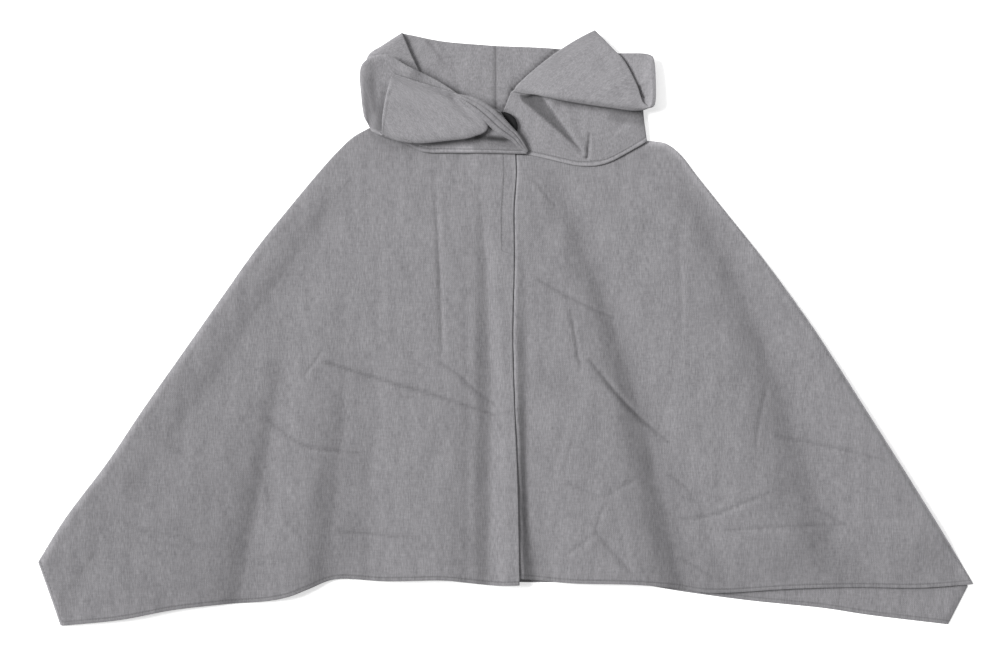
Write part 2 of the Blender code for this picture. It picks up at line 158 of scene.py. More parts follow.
PLACKET = (
    (515, 154.6), (515.6, 174), (513.3, 209), (513.6, 260), (512, 336), (513.6, 400),
    (517, 481), (519, 584.2),
)
UNDERLAP = ((474, 153.2), (473, 260), (473, 400), (474, 576))
BACK_NECK = (
    (376, 134.5), (432, 129), (497, 128), (570, 131), (632, 138.4), (641, 145.5),
    (656, 150.5),
)
BACK_HEM = (
    (64, 621.5), (160, 609.5), (225, 600), (290, 591), (334, 577), (440, 577),
    (520, 581.5), (560, 581.5), (632, 583), (684, 591), (748, 599.6), (825.4, 607.6),
    (867, 614), (947.6, 623.7),
)

# Each broad valley: the line along its bottom, its depth as a share of the cloth's rise, and how far it
# reaches to the left and right of the line in millimetres, at the top and at the hem.
VALLEYS = {
    "front_right": (
        # x0, y0, x1, y1, x2, y2, depth top, depth hem, left top, left hem, right top, right hem
        (335, 200, 238, 345, 100, 545, 0.55, 0.15, 13, 22, 26, 60),
        (292, 290, 270, 440, 238, 606, 0, 0.95, 12, 18, 14, 46),
        (290, 330, 268, 440, 236, 606, 0, 0.6, 24, 120, 10, 10),
        (352, 280, 342, 448, 329, 590, 0, 0.85, 18, 30, 20, 60),
        (374, 300, 371, 448, 367, 590, 0, 0.45, 12, 24, 14, 30),
        (478, 165, 489, 336, 488, 584, 0.55, 0.72, 13, 26, 6, 15),
        (433, 154, 439, 250, 443, 355, 0.45, 0.1, 3.2, 3.2, 3.2, 3.2),
    ),
    "front_left": (
        (517, 200, 522, 450, 536, 584, 0.1, 0.85, 8, 15, 10, 34),
        (555, 180, 619, 340, 685, 586, 0.7, 0.95, 13, 25, 12, 54),
        (688, 185, 762, 340, 847, 590, 0.7, 0.7, 14, 40, 14, 50),
        (660, 430, 700, 500, 724, 592, 0, 0.3, 12, 14, 12, 14),
    ),
}
# Part of the right-hand hem lies down on the back panel: where this begins and over how far in layout
# units, the share of the rise that is lost and how far up from the hem in millimetres.
SETTLED_FROM = (690, 60)
SETTLED = 0.8
SETTLED_WIDE = 64.0

# Fine creases pressed into the fronts: the line, its depth and half width in millimetres, and how much
# the cloth swells on the lower side of it.
FINE_CREASES = {
    "front_right": (
        ((268, 418), (290, 437), (309, 447), (360, 453), 1.3, 3.2, 0.5),
        ((325, 362), (379, 379), (434, 395), (495, 415), 1.6, 3.4, 0.6),
        ((440, 363), (458, 374), (478, 392), (495, 405), 1.2, 3, 0.5),
        ((321, 352), (316, 361), (309, 370), (302, 378), 0.7, 3, 0.3),
        ((254, 458), (262, 474), (269, 492), (273, 510), 0.6, 3, 0.3),
        ((338, 532), (365, 533), (392, 536), (418, 537), 1, 3, 0.4),
        ((167, 444), (176, 450), (185, 455), (193, 460), 0.6, 3, 0.3),
        ((257, 555), (271, 557), (285, 560), (299, 561), 0.7, 3, 0.3),
        ((374, 138), (376, 143), (380, 149), (407, 147), 0.5, 3, 0.3),
        ((120, 520), (150, 532), (180, 536), (205, 548), 0.5, 4, 0.2),
    ),
    "front_left": (
        ((538, 280), (563, 294), (588, 307), (613, 318), 1.3, 3, 0.5),
        ((570, 309), (574, 329), (577, 350), (580, 370), 1, 3, 0.4),
        ((589, 360), (612, 388), (632, 410), (668, 442), 2, 3.6, 0.7),
        ((777, 436), (811, 443), (845, 450), (883, 460), 1, 3, 0.4),
        ((768, 380), (762, 405), (757, 430), (755, 452), 0.7, 3.5, 0.3),
        ((681, 519), (712, 515), (740, 504), (768, 492), 1.1, 3, 0.4),
        ((726, 529), (766, 527), (806, 526), (845, 524), 0.9, 3, 0.4),
        ((816, 510), (826, 514), (836, 519), (845, 524), 0.8, 3, 0.4),
        ((568, 484), (580, 488), (592, 493), (604, 497), 0.7, 3, 0.3),
        ((605, 503), (600, 516), (597, 524), (596, 532), 0.8, 3, 0.3),
        ((596, 532), (612, 550), (626, 566), (639, 580), 0.9, 3.2, 0.4),
        ((596, 532), (586, 540), (575, 548), (565, 555), 0.7, 3, 0.3),
        ((604, 497), (616, 490), (626, 484), (636, 478), 0.7, 3, 0.3),
        ((668, 474), (680, 482), (690, 492), (694, 502), 0.9, 3, 0.4),
        ((678, 558), (690, 563), (702, 570), (713, 577), 0.8, 3, 0.3),
        ((842, 590), (848, 595), (855, 600), (861, 606), 0.3, 3, 0.1),
        ((572, 442), (568, 453), (566, 463), (564, 474), 0.6, 3, 0.3),
        ((533, 177), (540, 188), (548, 198), (555, 206), 0.9, 3.5, 0.3),
        ((676, 230), (679, 260), (681, 300), (680, 340), 0.5, 5, 0.2),
    ),
}

LEFT_COLLAR = (
    # seam x, y, roll x, y, fold x, y, hem x, y, z seam, z stand, z middle, z flap, z hem
    (496, 127.6, 496, 96, 496, 80, 496, 46.6, 1, 1, 1, 1, 1),
    (545, 129, 545, 98, 545, 82, 545, 48.6, 1, 1, 1, 1, 1),
    (600, 132.4, 602, 102, 604, 86, 608, 54, 1, 1, 2.2, 3.8, 5),
    (632, 136.6, 634, 104, 638, 88, 648.5, 55.8, 1, 3, 6.2, 9.8, 12),
    (639.5, 137.6, 640, 100, 644.5, 86, 653, 61, 2, 5.4, 9.6, 13, 14),
    (643.5, 139.2, 642, 100.5, 648.5, 96, 654.6, 85, 3.8, 5.6, 10, 14.6, 16.6),
    (645.5, 141.6, 637.5, 96, 646.5, 107.5, 653.5, 105.5, 5.8, 7.6, 12.2, 17, 18),
    (632, 149.8, 622, 88, 636, 110.8, 643.6, 104.8, 5.7, 8.6, 13, 17, 16),
    (606, 163, 600, 83, 611, 108, 636, 85.5, 5.7, 9, 13.2, 17.2, 13.5),
    (580, 165.4, 574, 83, 578, 103.2, 624, 62.5, 5.7, 9, 13.2, 17.2, 12),
    (548, 158.6, 548, 86, 552, 98.5, 613, 50.5, 5.7, 8.8, 12.8, 16.6, 11),
    (525, 154, 527, 95, 531, 93.5, 603, 40, 5.2, 7.4, 11, 14.8, 10.5),
    (488, 150, 511.5, 93, 515, 90.5, 594.5, 31.5, 3.8, 5.6, 8.8, 12.2, 10),
)
RIGHT_COLLAR = (
    (375, 133, 365, 117, 372.5, 131.5, 376, 130.5, 6, 8.5, 11, 13.5, 14),
    (383, 136.6, 362.8, 100, 379, 134.6, 380.5, 133.6, 6, 10, 13.5, 17, 17.5),
    (392, 139, 363, 66.5, 385, 136.5, 383, 134.6, 6, 11, 16, 20.5, 22),
    (405, 143, 384, 56.5, 396, 140.5, 383.4, 121, 6, 11.5, 17, 22.5, 25),
    (424, 151.6, 408, 68, 418, 143.6, 386, 103, 6.1, 11.8, 17.5, 23, 26.5),
    (452, 152.6, 438, 82.5, 447, 141, 389.5, 89, 6.2, 12, 17.5, 23, 27.5),
    (480, 152.8, 463, 99, 472, 137.5, 392, 80, 8.2, 14.5, 19, 23.5, 28),
    (500, 153.2, 478, 108, 487, 129.5, 393, 78, 8.2, 16.5, 20, 24, 28),
    (513, 153.6, 489, 113, 483, 116, 393.4, 76.8, 8.2, 17, 20.2, 23.5, 28),
    (527, 153.8, 500, 113, 484, 103.8, 393.6, 76, 8.4, 17, 19.8, 23, 27.5),
)
RIGHT_COLLAR_BACK = (
    # centre x, y, quarter x, y, side x, y, fold x, y, over x, y, end x, y, z low, z high
    (495.85, 127.6, 436, 127.6, 388, 127, 370.5, 112, 373.5, 107, 377, 104, 1, 6.4),
    (495.85, 108, 436, 106, 380, 98, 366, 80, 371, 82, 380, 92, 1, 7.2),
    (495.85, 88, 437, 84, 384, 68, 368.5, 57, 380, 70, 394, 86, 1.3, 7.8),
    (495.85, 67, 440, 62.5, 399, 51, 383.5, 45.8, 396, 62, 409, 82, 1.3, 8),
    (495.85, 46.6, 444, 42.2, 414, 36.4, 401.7, 34, 409, 51, 420, 75, 1, 7),
)
# Swell along the rolled rim where each half turns over: the rim's line, its height, its half width in
# millimetres and the share of the way up the cloth where it ends.
COLLAR_RIMS = {
    "collar_right": (
        ((374, 132), (365.5, 117), (362.8, 100), (363, 66.5), (370, 57), (386, 57), (410, 69)),
        6.5, 14, 0.6,
    ),
    "collar_left": (((656, 62), (657, 85), (655, 104)), 1.5, 10, 1),
}
RIB_STEPS = (5, 5, 2, 2, 3, 2, 2, 4, 3)
LEFT_STEPS = (3, 3, 2, 3, 3, 3, 4, 3, 3, 3, 3, 4)
RIGHT_STEPS = (3, 3, 3, 3, 3, 3, 3, 2, 2)

# Band along the front edge of the right half: plan x, y, half width, height of its edges in
# millimetres and how far its middle bulges above them.
FRONT_BAND = (
    (460, 98, 2, 26.5, 1),
    (470, 103, 5, 26, 2),
    (480, 109, 6.6, 25, 2.8),
    (489, 116, 7.4, 23, 3.4),
    (497, 123.3, 7.6, 21, 3.4),
    (503.5, 129, 7, 19, 3.2),
    (509.7, 133.8, 5.8, 17, 3),
    (515.2, 138.2, 4.7, 15, 2.6),
    (518.9, 142.6, 4.2, 13.4, 2.2),
    (522.4, 147, 3.2, 11.6, 1.8),
    (527.2, 152.2, 1.1, 9.8, 1),
)
# Its two grooves, as shares of the bulge and of the half width: depth, place across and half width.
BAND_GROOVES = ((0.55, 0.28, 0.13), (0.35, -0.45, 0.12))

# Dents in the collar: start x, y, end x, y, depth at the start and at the end, half width at the start
# and at the end, the swell beside it, the share of the way up the cloth to which it marks, how far round
# from the centre back it begins, and how much painted shade darkens it.
COLLAR_CREASES = {
    "collar_left": (
        (533, 97, 582, 153, 2.6, 2, 9, 2, 1, 0.36, 0.6, 0),
        (589.5, 134, 587, 158, 1.2, 2.8, 1.4, 1.9, 0.3, 0.3, 0.5, 0.25),
        (627, 122, 615, 130, 0.6, 0.6, 4, 4, 0.2, 0.3, 0.4, 0),
        (549, 99, 566, 116, 0.8, 0.4, 4, 3, 0.4, 0.36, 0.6, 0.05),
        (560, 60, 604, 84, 0.5, 0.3, 7, 5, 0.3, 1, 0.7, 0),
        (592, 44, 622, 96, 0.4, 0.6, 6, 6, 0.3, 1, 0.6, 0),
    ),
    "collar_right": (
        (398, 82, 456, 99, 0.9, 1.4, 5, 3, 0.4, 1, 0, 0.06),
        (398, 112, 440, 126, 0.5, 0.3, 6, 6, 0.3, 1, 0, 0),
        (452, 99, 481, 130, 1.3, 0.6, 3.5, 5, 0.6, 1, 0, 0.05),
        (430, 88, 478, 112, 0.5, 1, 3, 2.6, 0.3, 1, 0, 0.06),
        (486, 139, 510, 139, 0.6, 0.6, 9, 8, 0, 0.3, 0.6, 0),
        (430, 144, 431, 153, 0.4, 0.8, 2, 2, 0.2, 0.3, 0, 0.1),
    ),
    "collar_right_back": (
        (426, 39, 446, 66, 1.3, 1.5, 2.6, 2.2, 0.7, 1, 0, 0.22),
        (497, 65, 505, 78, 0.5, 0.3, 2, 2, 0.2, 1, 0, 0.05),
    ),
}

# Painted shade on the collar where the cloth turns away or lies in a fold's shadow, painted light where the
# darkness is negative, and a dark line along the centre-back seam: plan start and end, half width at each
# in millimetres, how dark, how soft the border is in millimetres, and the shares up the cloth and round it
# between which it shows.
PAINTED_COLLAR_SHADES = {
    "collar_left": (
        # x0, y0, x1, y1, wide start, wide end, dark, soft, up from, up to, round from, round to
        (529.5, 95.5, 581.5, 151.5, 11.2, 0.4, 0.54, 2.6, 0, 0.44, 0.6, 1.1),
        (556, 102.5, 640, 114.5, 3.4, 3.4, 0.34, 7, 0, 0.44, 0.4, 1.1),
        (612, 117, 640, 119, 5, 8, 0.30, 10, 0, 0.44, 0.4, 1.1),
        (548, 98, 640, 110, 0.4, 0.4, 0.42, 9, 0.66, 1, 0.4, 1.1),
        (556, 49.5, 511.5, 89.5, 1, 1, 0.50, 3.4, 0, 1, -0.1, 0.3),
        (556, 49.5, 511.5, 89.5, 0, 0, 0.62, 24, 0, 1, -0.1, 0.3),
        (511.5, 89.5, 504.5, 107, 1, 1, 0.60, 3, 0, 1, -0.1, 0.3),
        (511.5, 89.5, 504.5, 107, 0, 0, 0.40, 18, 0, 1, -0.1, 0.3),
        (496, 40, 496, 112, 0.5, 0.7, 0.34, 2, 0, 1, -0.1, 0.3),
    ),
    "collar_right": (
        (477, 137.5, 512, 140.5, 3.4, 2, 0.62, 6, 0, 0.42, 0.4, 1.1),
        (470, 141, 515, 145, 5, 3, 0.30, 10, 0, 0.42, 0.4, 1.1),
        (384, 90, 379, 128, 1, 4, 0.42, 9, 0.43, 0.69, 0, 1.1),
        (387, 84, 381.5, 128, 0.6, 0.8, 0.30, 2.4, 0.43, 0.69, 0, 1.1),
        (377, 129.5, 392, 135, 0.6, 0.6, 0.35, 2, 0, 0.69, 0, 0.3),
        (371, 80, 376, 112, 3, 3, 0.34, 9, 0.43, 0.69, 0, 1.1),
        (422, 148, 470, 149, 4, 4, -0.30, 6, 0, 0.3, 0.2, 0.75),
        (490, 138, 505, 140, 3, 3, 0.50, 5, 0, 0.42, 0.4, 1.1),
        (393.5, 76, 383.4, 133, 0.5, 0.5, 0.30, 1.8, 0.94, 1, -0.1, 1.1),
    ),
    "collar_right_back": (
        (511.5, 89.5, 500, 107, 0, 0, 0.40, 26, 0, 1, 0, 1.1),
        (495.8, 40, 495.8, 112, 0.5, 0.7, 0.34, 2, 0, 1, -0.1, 1.1),
    ),
}


def place(points):
    """Layout x, y and millimetre z turned into metres."""
    points = np.asarray(points, float)
    out = np.empty_like(points)
    out[..., 0] = (points[..., 0] - CENTRE_X) * UNIT
    out[..., 1] = (CENTRE_Y - points[..., 1]) * UNIT
    out[..., 2] = points[..., 2] * MM
    return out


def smooth(knots, counts):
    """A curve through the knots along axis 0, with counts[i] steps on the span after knot i."""
    knots = np.asarray(knots, float)
    flat = knots.reshape(len(knots), -1)
    gaps = np.linalg.norm(np.diff(knots, axis=0).reshape(len(knots) - 1, -1), axis=1)
    gaps = np.sqrt(np.maximum(gaps, 1e-6))
    slopes = np.diff(flat, axis=0) / gaps[:, None]
    tangents = np.empty_like(flat)
    tangents[0] = slopes[0]
    tangents[-1] = slopes[-1]
    weight = (gaps[:-1] / (gaps[:-1] + gaps[1:]))[:, None]
    tangents[1:-1] = slopes[:-1] * (1 - weight) + slopes[1:] * weight
    out = []
    for i, count in enumerate(counts):
        for k in range(count):
            t = k / count
            out.append(
                (2 * t**3 - 3 * t**2 + 1) * flat[i]
                + (t**3 - 2 * t**2 + t) * gaps[i] * tangents[i]
                + (3 * t**2 - 2 * t**3) * flat[i + 1]
                + (t**3 - t**2) * gaps[i] * tangents[i + 1]
            )
    out.append(flat[-1])
    return np.array(out).reshape((-1,) + knots.shape[1:])


def flowing(points):
    """A smooth outline through a table's plan points."""
    return smooth(points, [8] * (len(points) - 1))


def along(line, shares):
    """Points at the given shares of a line's length."""
    line = np.asarray(line, float)
    lengths = np.concatenate([[0], np.cumsum(np.linalg.norm(np.diff(line, axis=0), axis=1))])
    at = np.asarray(shares) * lengths[-1]
    return np.stack([np.interp(at, lengths, line[:, k]) for k in (0, 1)], axis=-1)


def corner_share(line, index):
    lengths = np.linalg.norm(np.diff(np.asarray(line, float), axis=0), axis=1)
    return lengths[:index].sum() / lengths.sum()


def patch(top, bottom, start, end, columns, rows, corner=1.0, rows_after=0):
    """A grid of plan points that meets four border lines, with a row on a corner of the end line."""
    u = np.linspace(0, 1, columns + 1)
    v = np.linspace(0, corner, rows + 1)
    v = np.concatenate([v, np.linspace(corner, 1, rows_after + 1)[1:]])
    t, b, s, e = along(top, u), along(bottom, u), along(start, v), along(end, v)
    uu, vv = u[None, :, None], v[:, None, None]
    grid = (1 - vv) * t[None] + vv * b[None] + (1 - uu) * s[:, None] + uu * e[:, None]
    corners = (1 - uu) * (1 - vv) * t[0] + uu * (1 - vv) * t[-1] + (1 - uu) * vv * b[0] + uu * vv * b[-1]
    return grid - corners


def nearest(line, xy):
    """Each point's shortest plan distance to a line in layout units, and its side: -1 left, 1 right."""
    line = np.asarray(line, float)
    best = np.full(xy.shape[:-1], 1e9)
    side = np.ones(xy.shape[:-1])
    for a, b in zip(line[:-1], line[1:]):
        span = b - a
        share = np.clip(((xy - a) @ span) / (span @ span), 0, 1)
        apart = np.linalg.norm(xy - (a + share[..., None] * span), axis=-1)
        nearer = apart < best
        best = np.where(nearer, apart, best)
        turn = span[1] * (xy[..., 0] - a[0]) - span[0] * (xy[..., 1] - a[1])
        side = np.where(nearer, np.sign(turn), side)
    return best, side


def distance_to(line, xy):
    """Shortest plan distance from each point to a line, in millimetres."""
    return nearest(line, xy)[0] * UNIT / MM


def signed_distance(line, xy):
    """Plan distance in millimetres, negative on the left of a line that runs down the garment."""
    best, side = nearest(line, xy)
    return best * side * UNIT / MM


def ease(value):
    value = np.clip(value, 0, 1)
    return value * value * (3 - 2 * value)


def heading(line):
    """The direction of a plan line at each of its points."""
    run = np.gradient(line, axis=0)
    return run / np.linalg.norm(run, axis=1)[:, None]


def bell(apart, width):
    return np.exp(-((apart / width) ** 2))


def step(value, start, over):
    """A smooth rise from 0 to 1 over the stretch that begins at start."""
    return ease((value - start) / over)


def ripple(xy, seed, size, strength):
    """Smooth uneven swelling of the cloth, the sum of a few waves that run in seeded directions."""
    rng = np.random.default_rng(seed)
    total = np.zeros(xy.shape[:-1])
    for _ in range(9):
        angle = rng.uniform(0, pi)
        pitch = size * rng.uniform(0.6, 1.7)
        phase = rng.uniform(0, 2 * pi)
        total += np.sin((xy[..., 0] * cos(angle) + xy[..., 1] * sin(angle)) * 2 * pi / pitch + phase)
    return total / 3.0 * strength


def fine_crease(name, xy):
    """Height change of the small pressed creases, a sharp trough with a soft swell beside it."""
    change = np.zeros(xy.shape[:-1])
    for *line, depth, width, swell in FINE_CREASES[name]:
        curve = smooth(line, (5, 5, 5))
        run = np.linalg.norm(np.diff(curve, axis=0), axis=1).sum()
        apart = distance_to(curve, xy)
        ends = np.minimum(np.linalg.norm(xy - curve[0], axis=-1), np.linalg.norm(xy - curve[-1], axis=-1))
        fade = 0.25 + 0.75 * ease(ends / (0.3 * run))
        lower = distance_to(curve + (0.0, 6.0), xy)
        trough = depth * bell(apart, 0.8 * width)
        change += CREASE_GAIN * fade * (swell * bell(lower, 3 * width) - trough)
    return change


def kept(name, xy):
    """Share of the cloth's full rise that the broad valleys leave."""
    y = xy[..., 1]
    keep = np.ones(y.shape)
    for x0, y0, x1, y1, x2, y2, deep0, deep1, left0, left1, right0, right1 in VALLEYS[name]:
        line = smooth([(x0, y0), (x1, y1), (x2, y2)], (6, 6))
        share = np.clip((y - y0) / (y2 - y0), 0, 1)
        depth = deep0 + (deep1 - deep0) * share
        apart = signed_distance(line, xy)
        left = left0 + (left1 - left0) * share
        right = right0 + (right1 - right0) * share
        reach = np.where(apart < 0, left, right)
        keep = keep * (1 - depth * np.exp(-(np.abs(apart) / reach) ** 1.7))
    return keep


def rise(name, xy, edge, hem):
    """How far the cloth of a front stands above its lowest level, in millimetres."""
    down = np.clip((xy[..., 1] - PUFF_DOWN[0]) / PUFF_DOWN[1], 0, 1)
    puff = np.interp(down, PUFF_AT, PUFF)
    settle = step(xy[..., 0], *SETTLED_FROM) * (1 - ease(distance_to(hem, xy) / SETTLED_WIDE))
    detail = fine_crease(name, xy) + ripple(xy, *RIPPLE)
    return puff * kept(name, xy) * (1 - SETTLED * settle) + detail * ease(puff / 4.0) * ease(edge / 14.0)


def front_height(name, xy, shoulder, hem):
    edge = distance_to(shoulder, xy)
    roll = np.sqrt(1 - (1 - np.clip(edge / ROLL, 0, 1)) ** 2)
    low_corner = ease(np.linalg.norm(xy - np.array(shoulder[-1]), axis=-1) / 75.0)
    lift = rise(name, xy, edge, hem)
    if name == "front_left":
        # Under the lap it has the other front's form.
        own = step(xy[..., 0], *OWN_FORM)
        lift = own * lift + (1 - own) * rise("front_right", xy, edge, hem)
        past_lap = signed_distance(PLACKET, xy)
        fuller = 1 + LAP_FULLER * bell(xy[..., 1] - LAP_FULLEST, 120.0)
        lift += LAP_SWELL * fuller * step(past_lap, *LAP_RISE) * (1 - step(past_lap, *LAP_FALL))
    height = np.maximum(FRONT_Z + lift * (0.35 + 0.65 * low_corner), FRONT_Z + 0.02)
    return ROLL_START + (height - ROLL_START) * roll


def painted_crease_and_valley_shade(name, xy):
    """Painted shade along the pressed creases and in the broad valleys, where shade falls in the folds."""
    tone = 1 - VALLEY_PAINTED_SHADE * (1 - kept(name, xy)) * step(xy[..., 1], *PAINTED_SHADE_FROM)
    for *line, depth, width, swell in FINE_CREASES[name]:
        curve = smooth(line, (5, 5, 5))
        tone -= CREASE_PAINTED_SHADE * min(depth, 1.6) * bell(distance_to(curve, xy), 1.9)
    return tone


def painted_rim_light_and_shade(tone, xy, rims):
    """Painted light close to each border line, or painted shade where the gain is negative."""
    for line, gain, width in rims:
        tone = tone * (1 + gain * bell(distance_to(line, xy), width))
    return tone


def normals_of(grid):
    across = np.gradient(grid, axis=1)
    down = np.gradient(grid, axis=0)
    normal = np.cross(across, down)
    length = np.linalg.norm(normal, axis=-1, keepdims=True)
    return normal / np.maximum(length, 1e-12)


def border_of(rows, columns):
    """Indices of the grid's border, once round."""
    top = [(0, j) for j in range(columns)]
    right = [(i, columns - 1) for i in range(1, rows)]
    bottom = [(rows - 1, j) for j in range(columns - 2, -1, -1)]
    left = [(i, 0) for i in range(rows - 2, 0, -1)]
    return np.array(top + right + bottom + left)


def face_outward(mesh):
    bm = bmesh.new()
    bm.from_mesh(mesh)
    bmesh.ops.recalc_face_normals(bm, faces=bm.faces)
    bm.to_mesh(mesh)
    bm.free()


def add(name, data):
    obj = bpy.data.objects.new(name, data)
    bpy.context.scene.collection.objects.link(obj)
    return obj


def dress(name, mesh, material, node, location=(0, 0, 0), turn=(0, 0, 0)):
    """A smooth object made from a mesh, on the part's one body, in place of a node of the part."""
    mesh.polygons.foreach_set("use_smooth", np.ones(len(mesh.polygons), bool))
    mesh.materials.append(material)
    obj = add(name, mesh)
    obj.location = location
    obj.rotation_euler = turn
    bpy.context.view_layer.update()
    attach(obj, "root")
    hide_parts(node)
    return obj


def cloth_marks(shape, shade=1.0, line_a=NO_LINE, line_b=NO_LINE):
    """What the wool reads at each point: the painted light and shade on it, and its distance from two lines
    of stitching.
    """
    values = {"shade": shade, "line_a": line_a, "line_b": line_b}
    return {key: np.broadcast_to(value, shape) for key, value in values.items()}


def raised(plan, height):
    """Plan points joined with their heights."""
    height = np.broadcast_to(height, plan.shape[:2])
    return np.concatenate([plan, height[..., None]], axis=-1)


def shell(name, middle, thickness, material, node, marks, uv=None):
    """A closed cloth shell round a grid of middle points, with a rounded edge and a UV map in metres."""
    points = place(middle)
    rows, columns = points.shape[:2]
    normal = normals_of(points)
    flip = np.mean(normal[..., 2]) < 0
    if flip:
        normal = -normal
    half = thickness * MM / 2
    upper = points + normal * half
    lower = points - normal * half
    ring = border_of(rows, columns)
    centre = points[ring[:, 0], ring[:, 1]]
    run = np.roll(centre, -1, axis=0) - np.roll(centre, 1, axis=0)
    away = np.cross(run, normal[ring[:, 0], ring[:, 1]])
    away /= np.maximum(np.linalg.norm(away, axis=1, keepdims=True), 1e-12)
    inside = points[np.clip(ring[:, 0], 1, rows - 2), np.clip(ring[:, 1], 1, columns - 2)]
    away *= np.sign(np.sum(away * (centre - inside), axis=1))[:, None]
    edge_normal = normal[ring[:, 0], ring[:, 1]]
    rims = [centre + away * half * cos(a) * 0.8 + edge_normal * half * sin(a) for a in (0.7, 0.0, -0.7)]
    verts = np.concatenate([upper.reshape(-1, 3), lower.reshape(-1, 3)] + rims)
    count = rows * columns
    index = np.arange(count).reshape(rows, columns)
    a, b, c, d = index[:-1, :-1], index[:-1, 1:], index[1:, 1:], index[1:, :-1]
    top = np.stack([a, d, c, b], axis=-1).reshape(-1, 4)
    bottom = np.stack([a, b, c, d], axis=-1).reshape(-1, 4) + count
    border = index[ring[:, 0], ring[:, 1]]
    middle_loops = [2 * count + len(ring) * k + np.arange(len(ring)) for k in range(3)]
    loops = [border] + middle_loops + [border + count]
    sides = []
    for p, q in zip(loops[:-1], loops[1:]):
        sides.append(np.stack([p, np.roll(p, -1), np.roll(q, -1), q], axis=-1))
    faces = np.concatenate([top, bottom] + sides)
    if flip:
        faces = faces[:, ::-1]
    mesh = bpy.data.meshes.new(name)
    mesh.vertices.add(len(verts))
    mesh.vertices.foreach_set("co", verts.astype(np.float32).ravel())
    mesh.loops.add(faces.size)
    mesh.loops.foreach_set("vertex_index", faces.astype(np.int32).ravel())
    mesh.polygons.add(len(faces))
    mesh.polygons.foreach_set("loop_start", np.arange(0, faces.size, 4, dtype=np.int32))
    mesh.update(calc_edges=True)
    mesh.validate()
    face_outward(mesh)

    def spread(values):
        values = np.asarray(values, float).reshape(count, -1)
        at_rim = values[border]
        return np.concatenate([values, values] + [at_rim] * 3)

    if uv is None:
        uv = points[..., :2]
    layer = mesh.uv_layers.new(name="cloth")
    corner = np.empty(len(mesh.loops), np.int32)
    mesh.loops.foreach_get("vertex_index", corner)
    layer.data.foreach_set("uv", spread(uv)[corner].astype(np.float32).ravel())
    for key, values in marks.items():
        attribute = mesh.attributes.new(key, "FLOAT", "POINT")
        attribute.data.foreach_set("value", spread(values).astype(np.float32).ravel())
    return dress(name, mesh, material, node)


def sheet_area(middle):
    """Area of a grid's middle surface in square metres."""
    points = place(middle)
    a = points[1:, 1:] - points[:-1, :-1]
    b = points[1:, :-1] - points[:-1, 1:]
    return float(np.linalg.norm(np.cross(a, b), axis=-1).sum() / 2)


def toward(a, b, step):
    gap = b - a
    length = max(float(np.linalg.norm(gap)), 1e-6)
    return a + gap / length * min(step, 0.42 * length)


def side_fold(row):
    """One line across the collar's back, from the centre round the side fold and forward again."""
    *plan, low, high = row
    centre, quarter, side, fold, over, end = (np.array(p) for p in zip(plan[::2], plan[1::2]))
    before, after = toward(fold, side, SETBACK), toward(fold, over, SETBACK)
    points = (centre, quarter, side, before, fold, after, over, end)
    heights = (1.0, 1.0, low, low + 0.2, (low + high) / 2, high - 0.2, high, high)
    return [(p[0], p[1], z) for p, z in zip(points, heights)]


def rib(row):
    """One line up the collar from its seam to its hem, through the pleat that folds it."""
    sx, sy, rx, ry, fx, fy, hx, hy, z_seam, z_stand, z_middle, z_flap, z_hem = row
    seam, roll, fold, hem = (np.array(p) for p in ((sx, sy), (rx, ry), (fx, fy), (hx, hy)))
    plan = (
        seam, seam + (roll - seam) / 3, toward(roll, seam, SETBACK), roll, toward(roll, fold, SETBACK),
        toward(fold, roll, SETBACK), fold, toward(fold, hem, SETBACK), (fold + hem) / 2, hem,
    )
    ramp = 0.12 * (z_flap - z_stand)
    heights = (
        z_seam, z_seam + 0.8 * (z_stand - z_seam), z_stand, (z_stand + z_middle) / 2,
        z_middle - ramp, z_middle + ramp, (z_middle + z_flap) / 2, z_flap, (z_flap + z_hem) / 2, z_hem,
    )
    return [(p[0], p[1], z) for p, z in zip(plan, heights)]


def collar_sheet(name, table, steps):
    """Grid of a collar half's middle surface, and the painted light and shade on each of its points."""
    ribs = np.array([smooth(rib(row), [n * RIB_FINE for n in RIB_STEPS]) for row in table])
    sheet = smooth(ribs, [n * ROUND_FINE for n in steps])
    rim, rise, width, until = COLLAR_RIMS[name]
    up = np.linspace(0, 1, sheet.shape[1])[None, :]
    swell = bell(distance_to(rim, sheet[..., :2]), width)
    sheet[..., 2] += rise * swell * ease((until - up) / 0.1) * ease((sheet[..., 2] - 4.0) / 8.0)
    if name == "collar_left":
        # The bow is a cubic along the flap's edge that peaks at 4 / 27.
        over = np.clip((up - FLAP_FROM) / (1 - FLAP_FROM), 0, 1)
        near_edge = step(np.linspace(0, 1, sheet.shape[0])[:, None], 0.84, 0.16)
        sheet[..., :2] += (27 / 4 * over**2 * (1 - over) * near_edge)[..., None] * np.array(FLAP_BOW)
    return dented(name, sheet)


def strip(x0, y0, x1, y1, xy):
    """A straight plan line, and each point's share of the way along it."""
    line = np.array(((x0, y0), (x1, y1)), float)
    span = line[1] - line[0]
    return line, np.clip(((xy - line[0]) @ span) / (span @ span), 0, 1)


